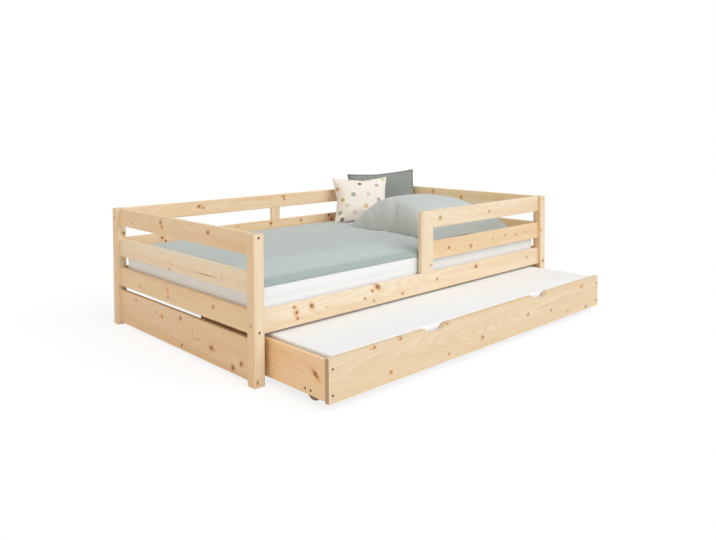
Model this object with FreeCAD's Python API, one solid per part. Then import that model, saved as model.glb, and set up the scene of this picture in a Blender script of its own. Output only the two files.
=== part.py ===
import FreeCAD, Part
import os
from FreeCAD import Vector

os.makedirs("parts", exist_ok=True)

# Low pine bed for a child: four posts, boards at both ends and along the back, a front
# rail with a half-length guard, bedding, and a trundle on wheels that rolls out to the front.
# Millimetres. X runs along the bed towards the head end, Y towards the back, Z up.

# Overall bed
bed_length = 2080.0
bed_width = 1270.0
post_side = 50.0
post_height = 600.0
post_rounding = 4.0

# Boards of the bed frame, from the top down
board_thickness = 20.0
board_edge = 2.5
top_rail_height = 88.0
upper_gap = 67.0
mid_rail_height = 90.0
lower_gap = 59.0
bottom_rail_height = 95.0
skirt_gap = 20.0
skirt_floor_gap = 12.0
back_top_rail_height = 80.0

# Stub tenons on the rails
tenon_length = 10.0
tenon_thickness = 10.0
tenon_shoulder = 12.0
mortise_clearance = 0.2

# Spacer block between the back rails
spacer_width = 62.0
spacer_place = 991.0

# Guard at the head half of the front
guard_length = 1040.0
guard_upright_width = 88.0
guard_corner_radius = 14.0

# Connector bolts
bolt_radius = 5.5
bolt_recess = 9.0
bolt_bite = 36.0
bolt_end_clearance = 1.0
end_bolt_drop = 16.0
end_bolt_rise = 13.0
side_bolt_rise = 40.0
back_bolt_drop = 45.0

# Slatted base
ledger_width = 26.0
ledger_height = 26.0
slat_thickness = 18.0
slat_width = 70.0
slat_count = 14
slat_end_gap = 2.0
slat_edge_margin = 22.0
webbing_width = 25.0
webbing_thickness = 1.5
webbing_inset = 250.0

# Upper mattress
mattress_end_gap = 7.5
mattress_side_gap = 10.0
mattress_thickness = 150.0
mattress_corner = 50.0
mattress_edge = 16.0

# Trundle
trundle_post_gap = 12.0
trundle_depth = 880.0
trundle_pull = 365.0
trundle_floor_gap = 28.0
trundle_front_height = 163.0
trundle_side_height = 152.0
trundle_overhang = 8.0
trundle_ledger_side = 22.0
trundle_slat_thickness = 15.0
trundle_slat_count = 11
trundle_slat_margin = 60.0
trundle_mattress_end_gap = 10.0
trundle_mattress_gap = 8.0
trundle_mattress_thickness = 98.0
trundle_mattress_corner = 30.0
trundle_mattress_edge = 10.0
trundle_mattress_level = 92.0
notch_offset = 393.0
notch_width = 136.0
notch_depth = 24.0
notch_slope = 26.0
notch_floor_radius = 10.0
notch_lip_radius = 6.0

# Trundle wheels
wheel_radius = 45.0
wheel_width = 25.0
wheel_hub_radius = 13.0
wheel_hub_stand = 3.5
wheel_setback = 127.0
wheel_side_gap = 7.0
axle_radius = 5.0
axle_running_gap = 0.05
axle_end_play = 0.5
axle_head_radius = 8.0
axle_head_height = 3.0
wheel_plate_length = 54.0
wheel_plate_height = 30.0
wheel_plate_thickness = 3.0
wheel_plate_corner = 5.0

# Clearance between a soft piece and what it lies on
soft_gap = 0.3

# Duvet
duvet_short_of_pillow = 78.0
duvet_past_pillow = 57.0
duvet_foot_gap = 12.0
duvet_side_gap = 0.8
duvet_back_gap = 16.5
duvet_crown = 36.0
duvet_edge = 9.0
duvet_hem_drop = 17.0

# Duvet rows from the foot end to the turned edge: place along it and height of its body
duvet_row_shares = (0.0, 0.025, 0.17, 0.4, 0.58, 0.8, 0.965, 1.0)
duvet_body_shares = (0.3, 0.74, 1.0, 0.9, 1.0, 0.88, 0.78, 0.3)

# Places along a duvet row from its front to its back, and how full it is there
duvet_ridge_shares = (0.05, 0.3, 0.56, 0.84)
duvet_fill_shares = (0.9, 1.0, 0.84, 0.55)
hip_share = 1.1

# Pillow, lying on the mattress
pillow_size = 720.0
pillow_rise = 178.0
pillow_belly = 20.0
pillow_draw = 34.0
pillow_seam = 4.0
pillow_crown_shift = 110.0
pillow_head_gap = 45.0
pillow_front_gap = 80.0
pillow_turn_degrees = -5.0

# Small cushion with dots, standing on its lower seam
dotted_width = 364.0
dotted_height = 318.0
dotted_front = 60.0
dotted_back = 68.0
dotted_draw = 17.0
dotted_seam = 3.0
dotted_head_gap = 507.0
dotted_back_gap = 236.0
dotted_tilt_degrees = 27.0
dotted_turn_degrees = -35.6

# Long cushion with a piped seam, standing behind it
piped_width = 476.0
piped_height = 312.0
piped_front = 57.0
piped_back = 58.0
piped_draw = 12.0
piped_seam = 5.0
piped_head_gap = 240.0
piped_back_gap = 174.0
piped_tilt_degrees = 12.0
piped_turn_degrees = -27.5
piped_roll_degrees = 3.0

# Cover of a cushion from its seam to its crown: shares of the outline and of the half thickness
cover_size_shares = (1.0, 0.96, 0.89, 0.78, 0.64, 0.46, 0.25)
cover_rise_shares = (0.0, 0.22, 0.43, 0.64, 0.82, 0.95, 1.0)

# Places worked out from the sizes above
bed_back = (bed_width + trundle_pull) / 2
bed_front = bed_back - bed_width
bed_middle = (bed_front + bed_back) / 2
bed_right = bed_length / 2
bed_left = -bed_right
inner_right = bed_right - post_side
inner_left = -inner_right
inner_front = bed_front + post_side
inner_back = bed_back - post_side
front_y = bed_front + post_side / 2
back_y = bed_back - post_side / 2
foot_x = bed_left + post_side / 2
head_x = bed_right - post_side / 2
front_rail_inner = front_y + board_thickness / 2
back_rail_inner = back_y - board_thickness / 2
head_rail_inner = head_x - board_thickness / 2
top_rail_bottom = post_height - top_rail_height
mid_rail_top = top_rail_bottom - upper_gap
mid_rail_bottom = mid_rail_top - mid_rail_height
bottom_rail_top = mid_rail_bottom - lower_gap
bottom_rail_bottom = bottom_rail_top - bottom_rail_height
skirt_top = bottom_rail_bottom - skirt_gap
back_top_rail_bottom = post_height - back_top_rail_height
slat_bottom = bottom_rail_bottom + ledger_height
slat_top = slat_bottom + slat_thickness
mattress_top = slat_top + mattress_thickness
mattress_end = head_rail_inner - mattress_end_gap
mattress_front = front_rail_inner + mattress_side_gap
mattress_back = back_rail_inner - mattress_side_gap
guard_left = inner_right - guard_length
guard_right = guard_left + guard_upright_width
trundle_front = bed_front - trundle_pull
trundle_back = trundle_front + trundle_depth
trundle_inner_front = trundle_front + board_thickness
trundle_inner_back = trundle_back - board_thickness
trundle_end = inner_right - trundle_post_gap
side_outer = trundle_end - trundle_overhang
side_inner = side_outer - board_thickness
trundle_front_top = trundle_floor_gap + trundle_front_height
trundle_side_top = trundle_floor_gap + trundle_side_height
trundle_slat_bottom = trundle_mattress_level - trundle_slat_thickness
wheel_outer = side_inner - wheel_side_gap
ALONG_X = Vector(1, 0, 0)
ALONG_Y = Vector(0, 1, 0)
ALONG_Z = Vector(0, 0, 1)
ORIGIN = Vector(0, 0, 0)
quarter_turn_degrees = 90.0
full_turn_degrees = 360.0


def box(x0, x1, y0, y1, z0, z1):
    return Part.makeBox(x1 - x0, y1 - y0, z1 - z0, Vector(x0, y0, z0))


def edges_along(shape, axis):
    """Straight edges of a shape that run along one axis."""
    found = []
    for edge in shape.Edges:
        if isinstance(edge.Curve, Part.Line):
            run = edge.Vertexes[-1].Point - edge.Vertexes[0].Point
            if run.cross(axis).Length < edge.Length / post_height:
                found.append(edge)
    return found


def eased_board(x0, x1, y0, y1, z0, z1, axis):
    """Planed board whose long edges are taken off."""
    board = box(x0, x1, y0, y1, z0, z1)
    return board.makeChamfer(board_edge, edges_along(board, axis))


def save(name, *solids):
    shape = solids[0] if len(solids) == 1 else Part.makeCompound(solids)
    shape.exportStep("parts/" + name + ".step")


# Connector bolts: each sits in a recess in a post and runs on into the end of a rail

bolts = []
post_cuts = {"front_left": [], "front_right": [], "back_left": [], "back_right": []}


def bolt_together(post_name, rail, head, way):
    """Bolt along way in a hole that starts at head; returns the rail with its part of the hole."""
    reach = post_side + bolt_bite
    hole = Part.makeCylinder(bolt_radius, reach + bolt_end_clearance, head, way)
    bolts.append(Part.makeCylinder(bolt_radius, reach - bolt_recess, head + way * bolt_recess, way))
    post_cuts[post_name].append(hole)
    return rail.cut(hole)


# Rails between the posts

def stub_tenon(shoulder, axis, way, clearance):
    """Tenon on the end of a rail; shoulder is the middle of the rail's end at its lower edge."""
    across = tenon_thickness / 2 + clearance
    reach = tenon_length + clearance
    low = tenon_shoulder - clearance
    x, y, z = shoulder
    height = axis.z
    if axis.x:
        return box(min(x, x + way * reach), max(x, x + way * reach), y - across, y + across,
                   z + low, z + height - low)
    return box(x - across, x + across, min(y, y + way * reach), max(y, y + way * reach),
               z + low, z + height - low)


def rail_along_x(y, z0, z1, x0, x1, left_post, right_post):
    """Board along the bed with a stub tenon at each end."""
    half = board_thickness / 2
    rail = eased_board(x0, x1, y - half, y + half, z0, z1, ALONG_X)
    axis = Vector(1, 0, z1 - z0)
    for x, way, post_name in ((x0, -1, left_post), (x1, 1, right_post)):
        rail = rail.fuse(stub_tenon((x, y, z0), axis, way, 0))
        if post_name:
            post_cuts[post_name].append(stub_tenon((x, y, z0), axis, way, mortise_clearance))
    return rail


def rail_along_y(x, z0, z1, side):
    """Board across one end of the bed with a stub tenon at each end."""
    half = board_thickness / 2
    rail = eased_board(x - half, x + half, inner_front, inner_back, z0, z1, ALONG_Y)
    axis = Vector(0, 1, z1 - z0)
    for y, way, post_name in ((inner_front, -1, "front_" + side), (inner_back, 1, "back_" + side)):
        rail = rail.fuse(stub_tenon((x, y, z0), axis, way, 0))
        post_cuts[post_name].append(stub_tenon((x, y, z0), axis, way, mortise_clearance))
    return rail


def bolt_along_x(rail, depth, y, z, sides):
    for side in sides:
        x = bed_left if side == "left" else bed_right
        way = ALONG_X if side == "left" else ALONG_X * -1
        rail = bolt_together(depth + "_" + side, rail, Vector(x, y, z), way)
    return rail


def bolt_along_y(rail, side, x, z):
    rail = bolt_together("front_" + side, rail, Vector(x, bed_front, z), ALONG_Y)
    return bolt_together("back_" + side, rail, Vector(x, bed_back, z), ALONG_Y * -1)


# End boards: top, middle and bottom rails and a skirt panel, the same at foot and head

end_boards = {}
for end_name, side, x in (("foot_end", "left", foot_x), ("head_end", "right", head_x)):
    top_rail = rail_along_y(x, top_rail_bottom, post_height, side)
    bottom_rail = rail_along_y(x, bottom_rail_bottom, bottom_rail_top, side)
    end_boards[end_name + "_top_rail"] = bolt_along_y(top_rail, side, x, post_height - end_bolt_drop)
    end_boards[end_name + "_mid_rail"] = rail_along_y(x, mid_rail_bottom, mid_rail_top, side)
    end_boards[end_name + "_bottom_rail"] = bolt_along_y(bottom_rail, side, x,
                                                         bottom_rail_bottom + end_bolt_rise)
    end_boards[end_name + "_skirt_panel"] = rail_along_y(x, skirt_floor_gap, skirt_top, side)


# Side boards: one rail at the front, three boards at the back

both_sides = ("left", "right")
side_bolt = bottom_rail_bottom + side_bolt_rise
back_bolt = post_height - back_bolt_drop

front_rail = rail_along_x(front_y, bottom_rail_bottom, bottom_rail_top, inner_left, inner_right,
                          "front_left", "front_right")
front_rail = bolt_along_x(front_rail, "front", front_y, side_bolt, both_sides)
back_rail = rail_along_x(back_y, bottom_rail_bottom, bottom_rail_top, inner_left, inner_right,
                         "back_left", "back_right")
back_rail = bolt_along_x(back_rail, "back", back_y, side_bolt, both_sides)
back_mid_rail = rail_along_x(back_y, mid_rail_bottom, mid_rail_top, inner_left, inner_right,
                             "back_left", "back_right")
back_top_rail = rail_along_x(back_y, back_top_rail_bottom, post_height, inner_left, inner_right,
                             "back_left", "back_right")
back_top_rail = bolt_along_x(back_top_rail, "back", back_y, back_bolt, both_sides)


# Guard: an upright that stands on the front rail, and two rails from it to the head post

guard_top_rail = rail_along_x(front_y, top_rail_bottom, post_height, guard_right, inner_right,
                              None, "front_right")
guard_top_rail = bolt_along_x(guard_top_rail, "front", front_y, back_bolt, ("right",))
guard_mid_rail = rail_along_x(front_y, mid_rail_bottom, mid_rail_top, guard_right, inner_right,
                              None, "front_right")
guard_upright = box(guard_left, guard_right, front_y - board_thickness / 2, front_rail_inner,
                    bottom_rail_top, post_height)
outer_corner = []
for edge in edges_along(guard_upright, ALONG_Y):
    place = edge.CenterOfMass
    if place.x < guard_right - guard_corner_radius and place.z > mid_rail_top:
        outer_corner.append(edge)
guard_upright = guard_upright.makeFillet(guard_corner_radius, outer_corner)
for z0, z1 in ((top_rail_bottom, post_height), (mid_rail_bottom, mid_rail_top)):
    guard_upright = guard_upright.cut(
        stub_tenon((guard_right, front_y, z0), Vector(1, 0, z1 - z0), -1, mortise_clearance))


# Spacer block between the two upper back boards

spacer_left = bed_left + spacer_place
spacer_right = spacer_left + spacer_width
spacer = eased_board(spacer_left, spacer_right, back_rail_inner, back_rail_inner + board_thickness,
                     mid_rail_top, back_top_rail_bottom, ALONG_Z)


# Standing tenons that hold the guard upright and the spacer block

def standing_tenon(x0, x1, y, z, way, clearance):
    """Tenon on the end of an upright board; it starts at height z and runs up or down by way."""
    across = tenon_thickness / 2 + clearance
    reach = way * (tenon_length + clearance)
    inset = tenon_shoulder - clearance
    return box(x0 + inset, x1 - inset, y - across, y + across, min(z, z + reach), max(z, z + reach))


guard_upright = guard_upright.fuse(standing_tenon(guard_left, guard_right, front_y, bottom_rail_top, -1, 0))
front_rail = front_rail.cut(
    standing_tenon(guard_left, guard_right, front_y, bottom_rail_top, -1, mortise_clearance))
spacer = spacer.fuse([standing_tenon(spacer_left, spacer_right, back_y, mid_rail_top, -1, 0),
                      standing_tenon(spacer_left, spacer_right, back_y, back_top_rail_bottom, 1, 0)])
back_mid_rail = back_mid_rail.cut(
    standing_tenon(spacer_left, spacer_right, back_y, mid_rail_top, -1, mortise_clearance))
back_top_rail = back_top_rail.cut(
    standing_tenon(spacer_left, spacer_right, back_y, back_top_rail_bottom, 1, mortise_clearance))


# Posts

posts = {}
for post_name, x0, y0 in (("front_left", bed_left, bed_front), ("front_right", inner_right, bed_front),
                          ("back_left", bed_left, inner_back), ("back_right", inner_right, inner_back)):
    post = box(x0, x0 + post_side, y0, y0 + post_side, 0, post_height)
    post = post.makeFillet(post_rounding, edges_along(post, ALONG_Z))
    for hole in post_cuts[post_name]:
        post = post.cut(hole)
    posts["post_" + post_name] = post


# Slatted base: a ledger along each side rail, slats across, and two webbing straps under them

def row_of_slats(left, count, y0, y1, z0, z1):
    pitch = (left * -2 - slat_width) / (count - 1)
    slats = []
    for index in range(count):
        x = left + index * pitch
        slats.append(box(x, x + slat_width, y0, y1, z0, z1))
    return slats


ledger_front = box(inner_left, inner_right, front_rail_inner, front_rail_inner + ledger_width,
                   bottom_rail_bottom, slat_bottom)
ledger_back = box(inner_left, inner_right, back_rail_inner - ledger_width, back_rail_inner,
                  bottom_rail_bottom, slat_bottom)
slat_left = inner_left + slat_edge_margin
slats = row_of_slats(slat_left, slat_count, front_rail_inner + slat_end_gap,
                     back_rail_inner - slat_end_gap, slat_bottom, slat_top)
webbing = []
for way in (-1, 1):
    y = bed_middle + way * webbing_inset
    webbing.append(box(slat_left, -slat_left, y - webbing_width / 2, y + webbing_width / 2,
                       slat_bottom - webbing_thickness, slat_bottom))


# Mattresses: foam blocks with rounded corners and edges taken off

def mattress_block(end, y0, y1, z0, z1, corner, edge):
    block = box(-end, end, y0, y1, z0, z1)
    block = block.makeFillet(corner, edges_along(block, ALONG_Z))
    rims = [rim for rim in block.Edges if rim.BoundBox.ZLength < edge]
    return block.makeChamfer(edge, rims)


mattress = mattress_block(mattress_end, mattress_front, mattress_back, slat_top, mattress_top,
                          mattress_corner, mattress_edge)
trundle_mattress = mattress_block(
    side_inner - trundle_mattress_end_gap, trundle_inner_front + trundle_mattress_gap,
    trundle_inner_back - trundle_mattress_gap, trundle_mattress_level,
    trundle_mattress_level + trundle_mattress_thickness, trundle_mattress_corner, trundle_mattress_edge)


# Where the pillow lies: close to the head end, nearer the front than the back

pillow_x = head_rail_inner - pillow_head_gap - pillow_size / 2
pillow_y = mattress_front + pillow_front_gap + pillow_size / 2
pillow_left = pillow_x - pillow_size / 2


# Duvet: a shallow quilt whose front hem wraps the mattress edge and whose turned edge runs askew

def arc_through(a, middle, b):
    return Part.Arc(a, middle, b).toShape()


def line(a, b):
    return Part.LineSegment(a, b).toShape()


def duvet_row(along, body):
    """Closed outline of the duvet on a plane across the bed; along and body are shares."""
    front = front_rail_inner + duvet_side_gap
    back = mattress_back - duvet_back_gap
    left = inner_left + duvet_foot_gap
    length = pillow_left - duvet_short_of_pillow - left
    askew = (duvet_past_pillow + duvet_short_of_pillow) / (back - front)
    floor = mattress_top + soft_gap
    shoulder = mattress_front + mattress_edge - soft_gap
    hem = mattress_top - duvet_hem_drop

    def at(y, z):
        return Vector(left + along * (length + askew * (y - front)), y, z)

    rise = duvet_edge + (duvet_crown - duvet_edge) * body
    swell = duvet_edge / 4
    ridge = []
    for place, fill in zip(duvet_ridge_shares, duvet_fill_shares):
        ridge.append((front + (back - front) * place, floor + rise * fill))
    ridge.append((back, floor + duvet_edge))
    side = mattress_front - soft_gap
    edge_low = mattress_top - mattress_edge + soft_gap
    sides = [
        line(at(front, hem), at(side, hem)),
        line(at(side, hem), at(side, edge_low)),
        line(at(side, edge_low), at(shoulder, floor)),
        line(at(shoulder, floor), at(back, floor)),
        arc_through(at(back, floor), at(back + duvet_edge / 3, floor + duvet_edge / 2), at(*ridge[-1])),
    ]
    for (y0, z0), (y1, z1) in zip(ridge[:0:-1], ridge[-2::-1]):
        sides.append(arc_through(at(y0, z0), at((y0 + y1) / 2, (z0 + z1) / 2 + swell), at(y1, z1)))
    y1, z1 = ridge[0]
    hip = duvet_edge * hip_share
    sides.append(arc_through(at(y1, z1), at((front + y1) / 2 - hip, (hem + z1) / 2 + hip), at(front, hem)))
    return Part.Wire(sides)


duvet_rows = []
for along, body in zip(duvet_row_shares, duvet_body_shares):
    duvet_rows.append(duvet_row(along, body))
duvet = Part.makeLoft(duvet_rows, True, True)


# Pillow and cushions: two covers sewn together, each swelling to a crown, with drawn-in sides

def cover(width, height, rise, level, shift):
    """One cover as a stack of tapering slabs that starts at a level and swells towards +Y."""
    slabs = []
    shares = list(zip(cover_size_shares, cover_rise_shares))
    for (size0, rise0), (size1, rise1) in zip(shares, shares[1:]):
        x0 = width / 2 * size0
        x1 = width / 2 * size1
        z0 = height / 2 * size0
        z1 = height / 2 * size1
        shift0 = shift * rise0 ** 2
        shift1 = shift * rise1 ** 2
        slabs.append(Part.makeWedge(-x0, level + rise * rise0, shift0 - z0, shift1 - z1, -x1,
                                    x0, level + rise * rise1, shift0 + z0, shift1 + z1, x1))
    return slabs[0].fuse(slabs[1:])


def drawn_side(length, across, rise, draw):
    """Tool that hollows one side of a cushion between two of its corners by a shallow arc."""
    start = Vector(-length / 2, -rise, across / 2)
    end = Vector(length / 2, -rise, across / 2)
    bow = arc_through(start, Vector(0, -rise, across / 2 - draw), end)
    return Part.Face(Part.Wire([bow, line(end, start)])).extrude(ALONG_Y * (rise * 2))


def cushion(width, height, front, back, draw, seam, crown_shift):
    """Cushion upright in the XZ plane, its front towards -Y with the crown off the middle."""
    band = box(-width / 2, width / 2, -seam / 2, seam / 2, -height / 2, height / 2)
    front_cover = cover(width, height, front, seam / 2, crown_shift).mirror(ORIGIN, ALONG_Y)
    body = band.fuse([front_cover, cover(width, height, back, seam / 2, 0)])
    for turns in range(4):
        length, across = (width, height) if turns % 2 == 0 else (height, width)
        tool = drawn_side(length, across, front + back, draw)
        tool.rotate(ORIGIN, ALONG_Y, turns * quarter_turn_degrees)
        body = body.cut(tool)
    return body


def place_on_mattress(shape, tilt_degrees, turn_degrees, x, y):
    """Tilt a cushion about its lower edge, turn it and set its lowest point on the mattress."""
    shape.rotate(ORIGIN, ALONG_X, -tilt_degrees)
    shape.rotate(ORIGIN, ALONG_Z, turn_degrees)
    low = min(vertex.Z for vertex in shape.Vertexes)
    shape.translate(Vector(x, y, mattress_top + soft_gap - low))
    return shape


pillow = cushion(pillow_size, pillow_size, pillow_rise, pillow_belly, pillow_draw, pillow_seam,
                 pillow_crown_shift)
pillow = place_on_mattress(pillow, quarter_turn_degrees, pillow_turn_degrees, pillow_x, pillow_y)

dotted = cushion(dotted_width, dotted_height, dotted_front, dotted_back, dotted_draw, dotted_seam, 0)
dotted.translate(ALONG_Z * (dotted_height / 2))
dotted = place_on_mattress(dotted, dotted_tilt_degrees, dotted_turn_degrees,
                           head_rail_inner - dotted_head_gap, back_rail_inner - dotted_back_gap)

piped = cushion(piped_width, piped_height, piped_front, piped_back, piped_draw, piped_seam, 0)
piped.rotate(ORIGIN, ALONG_Y, -piped_roll_degrees)
piped.translate(ALONG_Z * (piped_height / 2))
piped = place_on_mattress(piped, piped_tilt_degrees, piped_turn_degrees,
                          head_rail_inner - piped_head_gap, back_rail_inner - piped_back_gap)


# Trundle box: front and back boards lap the ends of the side boards

def hand_notch(x):
    """Tool for a hand notch in the front board's top edge, with sloped sides."""
    floor = trundle_front_top - notch_depth
    over = trundle_front_top + notch_depth
    lip = notch_width / 2
    flat = lip - notch_slope
    corners = ((-lip, over), (-lip, trundle_front_top), (-flat, floor),
               (flat, floor), (lip, trundle_front_top), (lip, over))
    outline = [Vector(x + across, trundle_front, z) for across, z in corners]
    outline.append(outline[0])
    tool = Part.Face(Part.makePolygon(outline)).extrude(Vector(0, board_thickness, 0))
    low = [edge for edge in edges_along(tool, ALONG_Y)
           if edge.CenterOfMass.z < trundle_front_top - notch_depth / 2]
    return tool.makeFillet(notch_floor_radius, low)


front_board = box(-trundle_end, trundle_end, trundle_front, trundle_inner_front,
                  trundle_floor_gap, trundle_front_top)
for way in (-1, 1):
    front_board = front_board.cut(hand_notch(way * notch_offset))
lips = []
for edge in edges_along(front_board, ALONG_Y):
    place = edge.CenterOfMass
    if place.z > trundle_front_top - notch_lip_radius and abs(place.x) < trundle_end - notch_width:
        lips.append(edge)
front_board = front_board.makeFillet(notch_lip_radius, lips)
back_board = box(-side_outer, side_outer, trundle_inner_back, trundle_back,
                 trundle_floor_gap, trundle_side_top)
side_left = eased_board(-side_outer, -side_inner, trundle_inner_front, trundle_inner_back,
                        trundle_floor_gap, trundle_side_top, ALONG_Y)
side_right = eased_board(side_inner, side_outer, trundle_inner_front, trundle_inner_back,
                         trundle_floor_gap, trundle_side_top, ALONG_Y)


# Trundle base: a ledger on the front and back boards, and slats across

trundle_ledger_front = box(-side_inner, side_inner, trundle_inner_front,
                           trundle_inner_front + trundle_ledger_side,
                           trundle_slat_bottom - trundle_ledger_side, trundle_slat_bottom)
trundle_ledger_back = box(-side_inner, side_inner, trundle_inner_back - trundle_ledger_side,
                          trundle_inner_back, trundle_slat_bottom - trundle_ledger_side,
                          trundle_slat_bottom)
trundle_slats = row_of_slats(trundle_slat_margin - side_inner, trundle_slat_count,
                             trundle_inner_front + slat_end_gap, trundle_inner_back - slat_end_gap,
                             trundle_slat_bottom, trundle_mattress_level)


# Wheels: moulded discs, each on a steel pin that stands in from a plate on the side board

def wheel_section():
    """Half section of a wheel: its axis is X and its outer face lies at x = 0."""
    bore = axle_radius + axle_running_gap
    corners = ((-wheel_hub_stand, bore), (-wheel_hub_stand, wheel_hub_radius), (0, wheel_hub_radius),
               (0, wheel_radius), (wheel_width, wheel_radius), (wheel_width, bore))
    outline = [Vector(x, radius, 0) for x, radius in corners]
    outline.append(outline[0])
    return Part.Face(Part.makePolygon(outline))


wheel_form = wheel_section().revolve(ORIGIN, ALONG_X, full_turn_degrees)
wheels = {}
wheel_plates = []
axle_pins = []
for depth, y in (("front", trundle_front + wheel_setback), ("back", trundle_back - wheel_setback)):
    for side in both_sides:
        way = -1 if side == "left" else 1
        inward = ALONG_X * -way
        wheel = wheel_form.copy() if side == "left" else wheel_form.mirror(ORIGIN, ALONG_X)
        wheel.translate(Vector(way * wheel_outer, y, wheel_radius))
        wheels["wheel_" + depth + "_" + side] = wheel

        seat = Vector(way * side_inner, y, wheel_radius)
        pin_length = wheel_side_gap + wheel_width + axle_end_play
        pin = Part.makeCylinder(axle_radius, pin_length, seat, inward)
        pin_head = Part.makeCylinder(axle_head_radius, axle_head_height, seat + inward * pin_length, inward)
        axle_pins.append(pin.fuse(pin_head).removeSplitter())

        face = way * (side_inner - wheel_plate_thickness)
        plate = box(min(face, seat.x), max(face, seat.x),
                    y - wheel_plate_length / 2, y + wheel_plate_length / 2,
                    wheel_radius - wheel_plate_height / 2, wheel_radius + wheel_plate_height / 2)
        plate = plate.makeChamfer(wheel_plate_corner, edges_along(plate, ALONG_X))
        wheel_plates.append(plate.cut(pin))


# One file for each piece, with small pieces of a kind together

for pieces in (posts, end_boards, wheels):
    for name, solid in pieces.items():
        save(name, solid)
save("side_rail_front", front_rail)
save("side_rail_back", back_rail)
save("back_mid_rail", back_mid_rail)
save("back_top_rail", back_top_rail)
save("back_spacer_block", spacer)
save("guard_upright", guard_upright)
save("guard_top_rail", guard_top_rail)
save("guard_mid_rail", guard_mid_rail)
save("connector_bolts", *bolts)
save("slat_ledger_front", ledger_front)
save("slat_ledger_back", ledger_back)
save("bed_slats", *slats)
save("slat_webbing", *webbing)
save("mattress", mattress)
save("duvet", duvet)
save("pillow", pillow)
save("dotted_cushion", dotted)
save("piped_cushion", piped)
save("trundle_front_board", front_board)
save("trundle_back_board", back_board)
save("trundle_side_left", side_left)
save("trundle_side_right", side_right)
save("trundle_ledger_front", trundle_ledger_front)
save("trundle_ledger_back", trundle_ledger_back)
save("trundle_slats", *trundle_slats)
save("trundle_mattress", trundle_mattress)
save("wheel_plates", *wheel_plates)
save("wheel_axle_pins", *axle_pins)
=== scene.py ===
import math

import bpy
from mathutils import Matrix, Vector, noise


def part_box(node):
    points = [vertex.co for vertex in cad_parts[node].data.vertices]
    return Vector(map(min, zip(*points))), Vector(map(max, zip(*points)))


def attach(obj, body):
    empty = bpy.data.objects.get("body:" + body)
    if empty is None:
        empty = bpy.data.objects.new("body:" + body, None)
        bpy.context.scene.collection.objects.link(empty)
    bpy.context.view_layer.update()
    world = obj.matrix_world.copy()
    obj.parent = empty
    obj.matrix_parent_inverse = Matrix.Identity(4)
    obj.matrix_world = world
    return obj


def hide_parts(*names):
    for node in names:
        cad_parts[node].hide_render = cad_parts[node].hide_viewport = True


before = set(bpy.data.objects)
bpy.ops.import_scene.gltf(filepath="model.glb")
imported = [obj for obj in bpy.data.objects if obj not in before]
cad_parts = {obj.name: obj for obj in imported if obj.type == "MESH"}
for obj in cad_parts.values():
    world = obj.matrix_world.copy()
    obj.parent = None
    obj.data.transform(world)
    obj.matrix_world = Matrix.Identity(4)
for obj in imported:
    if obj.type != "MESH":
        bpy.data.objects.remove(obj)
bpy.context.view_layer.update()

bpy.ops.object.select_all(action="DESELECT")
scene = bpy.context.scene

# A low pine bed for a child, with its bedding and a trundle pulled out to the front.
# Metres. X runs towards the head end, Y towards the back, Z up.


# Camera
# The bed is seen from beyond its foot end, a little above the rails, through a normal lens.
# The lens is shifted down, so that the posts stay upright. Its lengths are in pixels.
picture_width = 716
focal_length = 682.5
lens_drop = 120
tilt_down, lean, turn = 0.0322, 0.0056, -0.7576
camera = bpy.data.cameras.new("camera")
camera.sensor_width = 36.0
camera.lens = focal_length / picture_width * camera.sensor_width
camera.shift_y = -lens_drop / picture_width
camera.clip_end = 200.0
camera_stand = bpy.data.objects.new("camera", camera)
camera_stand.location = (-2.537, -2.6233, 1.0075)
camera_stand.rotation_euler = (math.pi / 2 - tilt_down, lean, turn)
scene.collection.objects.link(camera_stand)
scene.camera = camera_stand
scene.view_settings.view_transform = "Standard"


# Floor and background
# A wide sheet of white card under the bed. It shows nearly white to the camera and keeps
# the soft shadow of the bed and the trundle.
def linear(red, green, blue, alpha=1.0):
    """Colour of a paint chip, given as 0 to 255, for a shader socket."""
    parts = [channel / 255 for channel in (red, green, blue)]
    parts = [part / 12.92 if part <= 0.04045 else ((part + 0.055) / 1.055) ** 2.4 for part in parts]
    return (*parts, alpha)


def add(tree, kind, inputs=None, **settings):
    """Add a node; each input is a plain value or another node's output."""
    node = tree.nodes.new(kind)
    for name, value in settings.items():
        setattr(node, name, value)
    for name, value in (inputs or {}).items():
        if isinstance(value, bpy.types.NodeSocket):
            tree.links.new(value, node.inputs[name])
        else:
            node.inputs[name].default_value = value
    return node


def computed(tree, operation, *values):
    """Result of a Math node; each value is a number or another node's output."""
    return add(tree, "ShaderNodeMath", dict(enumerate(values)), operation=operation).outputs[0]


def seen_directly(tree):
    """1 where the camera, a reflection or a view through glass looks, and 0 for lighting."""
    rays = add(tree, "ShaderNodeLightPath").outputs
    either = computed(tree, "MAXIMUM", rays["Is Camera Ray"], rays["Is Glossy Ray"])
    return computed(tree, "MAXIMUM", either, rays["Is Transmission Ray"])


bpy.ops.mesh.primitive_plane_add(size=60.0, location=(0, 0, 0))
floor = bpy.context.object
floor.name = "floor"
white_card = bpy.data.materials.new("white_card")
white_card.use_nodes = True
tree = white_card.node_tree
tree.nodes.clear()
matt = add(tree, "ShaderNodeBsdfDiffuse", {"Color": linear(243, 242, 240)})
glow = add(tree, "ShaderNodeEmission", {"Color": (1, 1, 1, 1), "Strength": 1.08})
glow_share = computed(tree, "MULTIPLY", seen_directly(tree), 0.74)
blend = add(tree, "ShaderNodeMixShader", {"Fac": glow_share, 1: matt.outputs[0], 2: glow.outputs[0]})
add(tree, "ShaderNodeOutputMaterial", {"Surface": blend.outputs[0]})
floor.data.materials.append(white_card)


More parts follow.
